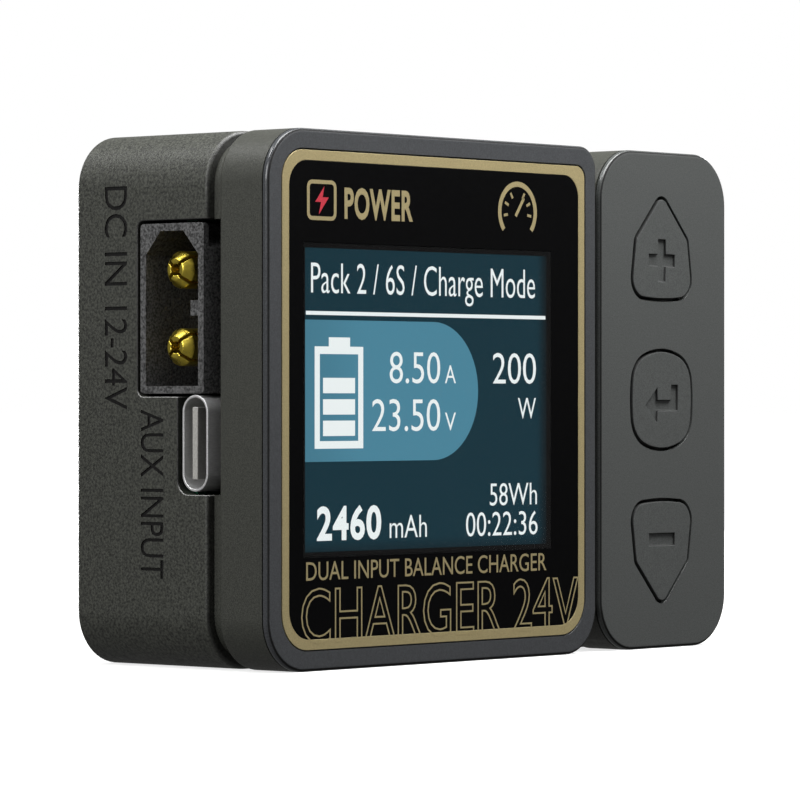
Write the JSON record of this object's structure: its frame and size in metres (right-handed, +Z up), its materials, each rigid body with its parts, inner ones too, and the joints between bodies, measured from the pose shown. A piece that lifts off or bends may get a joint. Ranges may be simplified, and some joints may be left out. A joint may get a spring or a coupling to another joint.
{
  "type": "balance battery charger",
  "caption": "Upright pocket balance charger: colour screen head, key panel, side power inlets, battery outlet, balance socket and rear fan.",
  "frame": {"origin": "centre of the bounding box's underside, where the charger stands", "axes": "+Z up, -Y out of the screen, +X from the screen head towards the key panel"},
  "size_m": [0.07, 0.0244, 0.05],
  "materials": {
    "case_plastic": "fine spark-eroded texture",
    "face_plastic": "very fine satin texture",
    "key_plastic": "satin",
    "gold_foil": "satin gold print",
    "label_gloss": "gloss black print",
    "window_clear": "clear polished",
    "lcd_glass": "backlit colour display",
    "frame_white": "moulded white",
    "flex_film": "polyimide film",
    "switch_steel": "pressed steel cover",
    "plunger_plastic": "moulded",
    "board": "solder mask",
    "header_plastic": "moulded",
    "inlet_plastic": "rough glass-filled nylon",
    "gold_contact": "gold plated",
    "shell_steel": "drawn steel",
    "tongue_plastic": "moulded",
    "socket_plastic": "natural nylon",
    "tin_contact": "tin plated",
    "fan_plastic": "moulded",
    "bearing_bronze": "sintered bronze",
    "winding_copper": "enamelled copper",
    "ferrite": "pressed ferrite",
    "can_aluminium": "drawn can",
    "chip_black": "moulded epoxy",
    "pad_silicone": "silicone pad",
    "sink_aluminium": "extruded",
    "screw_black": "black oxide"
  },
  "bodies": {
    "case": {"rear_shell": "case_plastic", "front_shell": "case_plastic", "head_bezel": "face_plastic", "keypad_fascia": "face_plastic", "gold_border": "gold_foil", "screen_label": "label_gloss", "screen_window": "window_clear", "lcd_panel": "lcd_glass", "lcd_frame": "frame_white", "lcd_flex": "flex_film", "key_switches": "switch_steel", "front_pcb": "board", "board_header": "header_plastic", "main_pcb": "board", "dc_inlet_housing": "inlet_plastic", "dc_inlet_pins": "gold_contact", "type_c_shell": "shell_steel", "type_c_tongue": "tongue_plastic", "battery_outlet_housing": "inlet_plastic", "battery_outlet_sockets": "gold_contact", "balance_socket_housing": "socket_plastic", "balance_socket_pins": "tin_contact", "fan_frame": "fan_plastic", "fan_bearing": "bearing_bronze", "fan_stator": "winding_copper", "power_inductor": "ferrite", "capacitors": "can_aluminium", "mosfets": "chip_black", "thermal_pad": "pad_silicone", "heatsink": "sink_aluminium", "controller_chip": "chip_black", "buzzer": "header_plastic", "case_screws": "screw_black"},
    "plus_key": {"key_plus": "key_plastic", "plunger_plus": "plunger_plastic"},
    "enter_key": {"key_enter": "key_plastic", "plunger_enter": "plunger_plastic"},
    "minus_key": {"key_minus": "key_plastic", "plunger_minus": "plunger_plastic"},
    "fan": {"fan_rotor": "fan_plastic", "fan_shaft": "shell_steel"}
  },
  "joints": [
    {"name": "plus_key_press", "type": "slide", "parent": "case", "child": "plus_key", "axis": [0, 1, 0], "range_m": [0, 0.0004], "stiffness_N_per_m": 2500, "springref_m": -0.0002},
    {"name": "enter_key_press", "type": "slide", "parent": "case", "child": "enter_key", "axis": [0, 1, 0], "range_m": [0, 0.0004], "stiffness_N_per_m": 2500, "springref_m": -0.0002},
    {"name": "minus_key_press", "type": "slide", "parent": "case", "child": "minus_key", "axis": [0, 1, 0], "range_m": [0, 0.0004], "stiffness_N_per_m": 2500, "springref_m": -0.0002},
    {"name": "fan_spin", "type": "hinge", "parent": "case", "child": "fan", "pos_m": [0, 0.007, 0.025], "axis": [0, 1, 0], "continuous": true}
  ]
}
